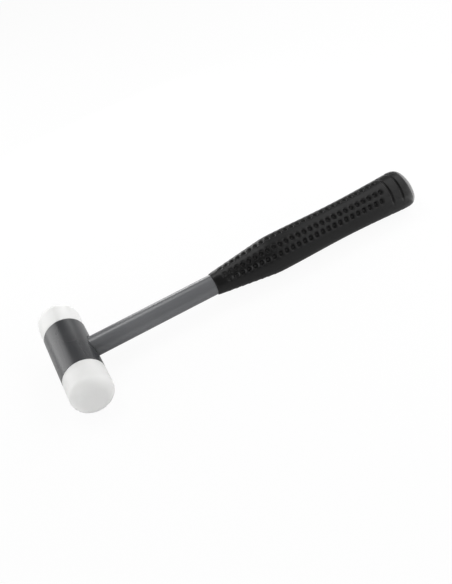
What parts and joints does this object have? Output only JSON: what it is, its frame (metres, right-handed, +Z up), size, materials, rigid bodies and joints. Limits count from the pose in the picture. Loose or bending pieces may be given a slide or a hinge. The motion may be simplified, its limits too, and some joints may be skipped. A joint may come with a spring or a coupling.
{
  "type": "soft face hammer",
  "caption": "Soft face hammer: round steel head with a screw-in nylon striking face at each end, tubular steel handle and pitted rubber grip.",
  "frame": {"origin": "below the middle of the hammer's box, on the surface that the head lies on", "axes": "+X along the handle from the head to the butt, Y along the head's axis with the near face at -Y, +Z up from the surface the hammer lies on"},
  "size_m": [0.3346, 0.108, 0.035],
  "materials": {
    "head_paint": "satin",
    "tube_paint": "satin",
    "nylon": "satin",
    "plated_steel": "satin",
    "turned_steel": "satin",
    "cap_plastic": "matte",
    "grip_rubber": "matte"
  },
  "bodies": {
    "hammer": {"head_body": "head_paint", "handle_tube": "tube_paint", "handle_wedge": "turned_steel", "tube_cap": "cap_plastic", "grip": "grip_rubber"},
    "near_tip": {"near_face": "nylon", "near_stud": "plated_steel"},
    "far_tip": {"far_face": "nylon", "far_stud": "plated_steel"}
  },
  "joints": [
    {"name": "near_tip_unscrew", "type": "slide", "parent": "hammer", "child": "near_tip", "axis": [0, -1, 0], "range_m": [0, 0.018]},
    {"name": "far_tip_unscrew", "type": "slide", "parent": "hammer", "child": "far_tip", "axis": [0, 1, 0], "range_m": [0, 0.018]}
  ]
}
